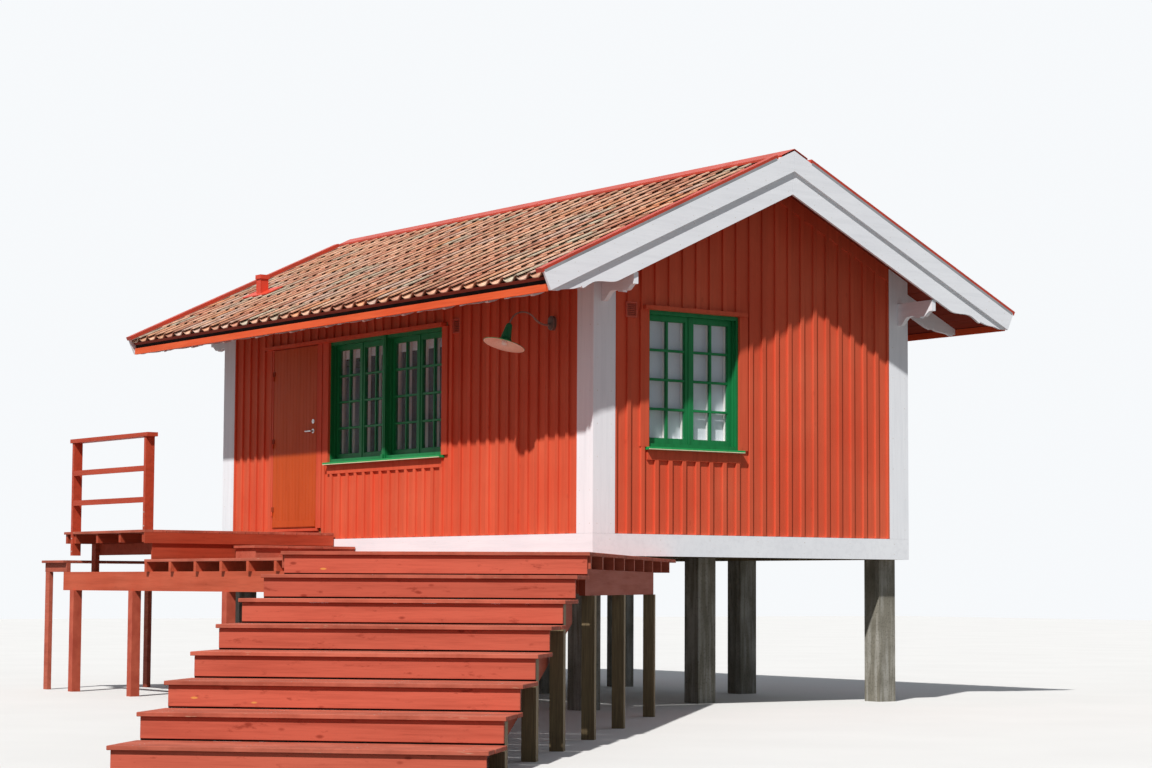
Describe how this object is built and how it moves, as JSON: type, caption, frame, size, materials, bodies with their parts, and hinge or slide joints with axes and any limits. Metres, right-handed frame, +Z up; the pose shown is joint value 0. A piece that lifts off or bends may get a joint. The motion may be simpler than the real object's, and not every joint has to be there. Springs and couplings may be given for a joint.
{
  "type": "timber boathouse",
  "caption": "Small red timber boathouse on concrete piers, with a tiled gable roof, carved eaves, green windows, a hinged door, a raised walkway, a wide outside stair and a door landing.",
  "frame": {"origin": "centre of the foot of the concrete pier under the near corner, where the entrance wall meets the gable beside the walkway, level with the foot of the stair", "axes": "+X along the entrance wall towards the stair end, +Y from the entrance wall to the back wall, +Z up"},
  "size_m": [14.3691, 12.2679, 5.3871],
  "materials": {
    "concrete": "cast concrete, weathered grey",
    "bare_timber": "unpainted pressure-treated softwood",
    "floor_timber": "bare pine floor boards",
    "white_timber": "white painted timber",
    "red_cladding": "falu red painted boards and battens",
    "red_timber": "red painted timber",
    "clay_tiles": "old unglazed clay pantiles with lichen",
    "red_sheet": "folded sheet metal, painted red",
    "green_timber": "dark green gloss painted timber",
    "window_glass": "clear window glass",
    "blind_cloth": "white lined blind",
    "lever_steel": "brushed steel",
    "aged_steel": "old steel pipe, tarnished brown-grey",
    "green_enamel": "green enamelled sheet steel"
  },
  "bodies": {
    "house": {"house_piers": "concrete", "floor_bearers": "bare_timber", "floor_joists": "bare_timber", "floor_boards": "floor_timber", "plinth_boards": "white_timber", "front_wall_left": "red_cladding", "front_wall_over_door": "red_cladding", "front_wall_right": "red_cladding", "back_wall": "red_cladding", "near_gable_wall": "red_cladding", "far_gable_wall": "red_cladding", "corner_boards": "white_timber", "roof_boards_front": "red_timber", "roof_boards_back": "red_timber", "tiles_front": "clay_tiles", "tiles_back": "clay_tiles", "ridge_cap": "red_sheet", "verge_flashings": "red_sheet", "near_bargeboards": "white_timber", "far_bargeboards": "white_timber", "eave_fascias": "red_timber", "rafter_tails_front": "white_timber", "rafter_tails_back": "white_timber", "plate_ends": "white_timber", "window_frames": "green_timber", "window_sashes": "green_timber", "window_glass": "window_glass", "window_blinds": "blind_cloth", "window_sills": "green_timber", "wall_trims": "red_timber", "door_frame": "red_timber", "lamp_arm": "aged_steel", "lamp_shade": "green_enamel", "wall_vents": "red_sheet", "roof_vent": "red_sheet", "walkway_deck": "red_timber", "walkway_joists": "red_timber", "walkway_beams": "red_timber", "stair_treads": "red_timber", "stair_risers": "red_timber", "stair_stringers": "red_timber", "deck_posts": "bare_timber", "side_deck": "red_timber", "side_deck_frame": "red_timber", "landing_deck": "red_timber", "landing_frame": "red_timber", "landing_railing": "red_timber", "step_box": "red_timber", "side_step": "red_timber"},
    "door": {"door_leaf": "red_timber"},
    "lever": {"door_levers": "lever_steel"}
  },
  "joints": [
    {"name": "door_hinge", "type": "hinge", "parent": "house", "child": "door", "pos_m": [-5.746, -0.135, 2.44], "axis": [0, 0, -1], "range_deg": [0, 100]},
    {"name": "lever_turn", "type": "hinge", "parent": "door", "child": "lever", "pos_m": [-4.868, -0.097, 2.833], "axis": [0, -1, 0], "range_deg": [0, 40], "stiffness_Nm_per_rad": 1.2, "springref_deg": -45.84}
  ]
}
